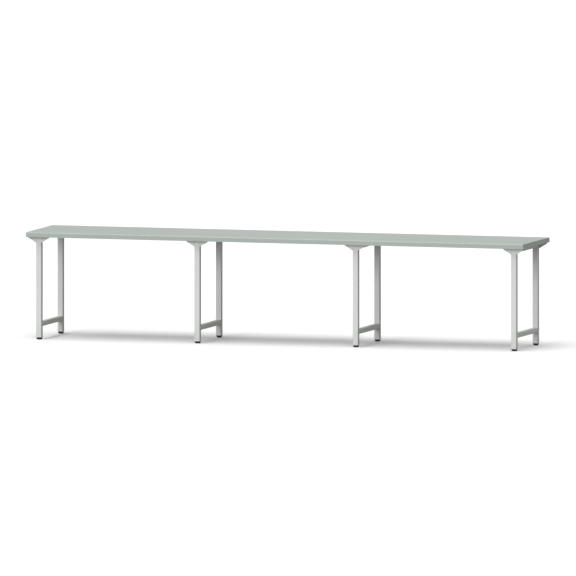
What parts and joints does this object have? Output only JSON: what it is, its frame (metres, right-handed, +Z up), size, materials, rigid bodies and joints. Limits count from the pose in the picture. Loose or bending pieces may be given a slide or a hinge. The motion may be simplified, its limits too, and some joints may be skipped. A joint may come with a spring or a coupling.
{
  "type": "workbench",
  "caption": "Long workbench with a flat laminated worktop on square-tube steel frames, each with a low cross rail, flared leg heads and levelling feet.",
  "frame": {"origin": "on the floor under the middle of the bench, with every levelling foot screwed right in", "axes": "+X along the bench to the right, +Y from the front to the back, +Z up"},
  "size_m": [4.24, 0.75, 0.88],
  "materials": {
    "laminate": "satin",
    "edge_strip": "satin",
    "backing": "matte",
    "board": "matte",
    "frame_paint": "satin",
    "black_plastic": "matte",
    "zinc_steel": "satin"
  },
  "bodies": {
    "bench": {"worktop_core": "board", "worktop_laminate": "laminate", "worktop_backing": "backing", "end_strip_left": "edge_strip", "end_strip_right": "edge_strip", "insert_nuts": "zinc_steel", "foot_rail_1": "frame_paint", "top_angle_1": "frame_paint", "screws_1": "zinc_steel", "leg_front_1": "frame_paint", "head_front_1": "frame_paint", "plug_front_1": "black_plastic", "leg_rear_1": "frame_paint", "head_rear_1": "frame_paint", "plug_rear_1": "black_plastic", "foot_rail_2": "frame_paint", "top_angle_2": "frame_paint", "screws_2": "zinc_steel", "leg_front_2": "frame_paint", "head_front_2": "frame_paint", "plug_front_2": "black_plastic", "leg_rear_2": "frame_paint", "head_rear_2": "frame_paint", "plug_rear_2": "black_plastic", "foot_rail_3": "frame_paint", "top_angle_3": "frame_paint", "screws_3": "zinc_steel", "leg_front_3": "frame_paint", "head_front_3": "frame_paint", "plug_front_3": "black_plastic", "leg_rear_3": "frame_paint", "head_rear_3": "frame_paint", "plug_rear_3": "black_plastic", "foot_rail_4": "frame_paint", "top_angle_4": "frame_paint", "screws_4": "zinc_steel", "leg_front_4": "frame_paint", "head_front_4": "frame_paint", "plug_front_4": "black_plastic", "leg_rear_4": "frame_paint", "head_rear_4": "frame_paint", "plug_rear_4": "black_plastic"},
    "pad_front_1": {"foot_pad_front_1": "black_plastic"},
    "screw_front_1": {"spindle_front_1": "zinc_steel"},
    "pad_rear_1": {"foot_pad_rear_1": "black_plastic"},
    "screw_rear_1": {"spindle_rear_1": "zinc_steel"},
    "pad_front_2": {"foot_pad_front_2": "black_plastic"},
    "screw_front_2": {"spindle_front_2": "zinc_steel"},
    "pad_rear_2": {"foot_pad_rear_2": "black_plastic"},
    "screw_rear_2": {"spindle_rear_2": "zinc_steel"},
    "pad_front_3": {"foot_pad_front_3": "black_plastic"},
    "screw_front_3": {"spindle_front_3": "zinc_steel"},
    "pad_rear_3": {"foot_pad_rear_3": "black_plastic"},
    "screw_rear_3": {"spindle_rear_3": "zinc_steel"},
    "pad_front_4": {"foot_pad_front_4": "black_plastic"},
    "screw_front_4": {"spindle_front_4": "zinc_steel"},
    "pad_rear_4": {"foot_pad_rear_4": "black_plastic"},
    "screw_rear_4": {"spindle_rear_4": "zinc_steel"}
  },
  "joints": [
    {"name": "foot_front_1_level", "type": "slide", "parent": "bench", "child": "pad_front_1", "axis": [0, 0, 1], "range_m": [-0.025, 0]},
    {"name": "foot_front_1_turn", "type": "hinge", "parent": "pad_front_1", "child": "screw_front_1", "pos_m": [-2.025, -0.3035, 0.02], "axis": [0, 0, 1], "range_deg": [-6000, 0]},
    {"name": "foot_rear_1_level", "type": "slide", "parent": "bench", "child": "pad_rear_1", "axis": [0, 0, 1], "range_m": [-0.025, 0]},
    {"name": "foot_rear_1_turn", "type": "hinge", "parent": "pad_rear_1", "child": "screw_rear_1", "pos_m": [-2.025, 0.3035, 0.02], "axis": [0, 0, 1], "range_deg": [-6000, 0]},
    {"name": "foot_front_2_level", "type": "slide", "parent": "bench", "child": "pad_front_2", "axis": [0, 0, 1], "range_m": [-0.025, 0]},
    {"name": "foot_front_2_turn", "type": "hinge", "parent": "pad_front_2", "child": "screw_front_2", "pos_m": [-0.675, -0.3035, 0.02], "axis": [0, 0, 1], "range_deg": [-6000, 0]},
    {"name": "foot_rear_2_level", "type": "slide", "parent": "bench", "child": "pad_rear_2", "axis": [0, 0, 1], "range_m": [-0.025, 0]},
    {"name": "foot_rear_2_turn", "type": "hinge", "parent": "pad_rear_2", "child": "screw_rear_2", "pos_m": [-0.675, 0.3035, 0.02], "axis": [0, 0, 1], "range_deg": [-6000, 0]},
    {"name": "foot_front_3_level", "type": "slide", "parent": "bench", "child": "pad_front_3", "axis": [0, 0, 1], "range_m": [-0.025, 0]},
    {"name": "foot_front_3_turn", "type": "hinge", "parent": "pad_front_3", "child": "screw_front_3", "pos_m": [0.675, -0.3035, 0.02], "axis": [0, 0, 1], "range_deg": [-6000, 0]},
    {"name": "foot_rear_3_level", "type": "slide", "parent": "bench", "child": "pad_rear_3", "axis": [0, 0, 1], "range_m": [-0.025, 0]},
    {"name": "foot_rear_3_turn", "type": "hinge", "parent": "pad_rear_3", "child": "screw_rear_3", "pos_m": [0.675, 0.3035, 0.02], "axis": [0, 0, 1], "range_deg": [-6000, 0]},
    {"name": "foot_front_4_level", "type": "slide", "parent": "bench", "child": "pad_front_4", "axis": [0, 0, 1], "range_m": [-0.025, 0]},
    {"name": "foot_front_4_turn", "type": "hinge", "parent": "pad_front_4", "child": "screw_front_4", "pos_m": [2.025, -0.3035, 0.02], "axis": [0, 0, 1], "range_deg": [-6000, 0]},
    {"name": "foot_rear_4_level", "type": "slide", "parent": "bench", "child": "pad_rear_4", "axis": [0, 0, 1], "range_m": [-0.025, 0]},
    {"name": "foot_rear_4_turn", "type": "hinge", "parent": "pad_rear_4", "child": "screw_rear_4", "pos_m": [2.025, 0.3035, 0.02], "axis": [0, 0, 1], "range_deg": [-6000, 0]}
  ],
  "couplings": [
    {"joint": "foot_front_1_turn", "follows": "foot_front_1_level", "rad_per_m": 4188.8},
    {"joint": "foot_rear_1_turn", "follows": "foot_rear_1_level", "rad_per_m": 4188.8},
    {"joint": "foot_front_2_turn", "follows": "foot_front_2_level", "rad_per_m": 4188.8},
    {"joint": "foot_rear_2_turn", "follows": "foot_rear_2_level", "rad_per_m": 4188.8},
    {"joint": "foot_front_3_turn", "follows": "foot_front_3_level", "rad_per_m": 4188.8},
    {"joint": "foot_rear_3_turn", "follows": "foot_rear_3_level", "rad_per_m": 4188.8},
    {"joint": "foot_front_4_turn", "follows": "foot_front_4_level", "rad_per_m": 4188.8},
    {"joint": "foot_rear_4_turn", "follows": "foot_rear_4_level", "rad_per_m": 4188.8}
  ]
}
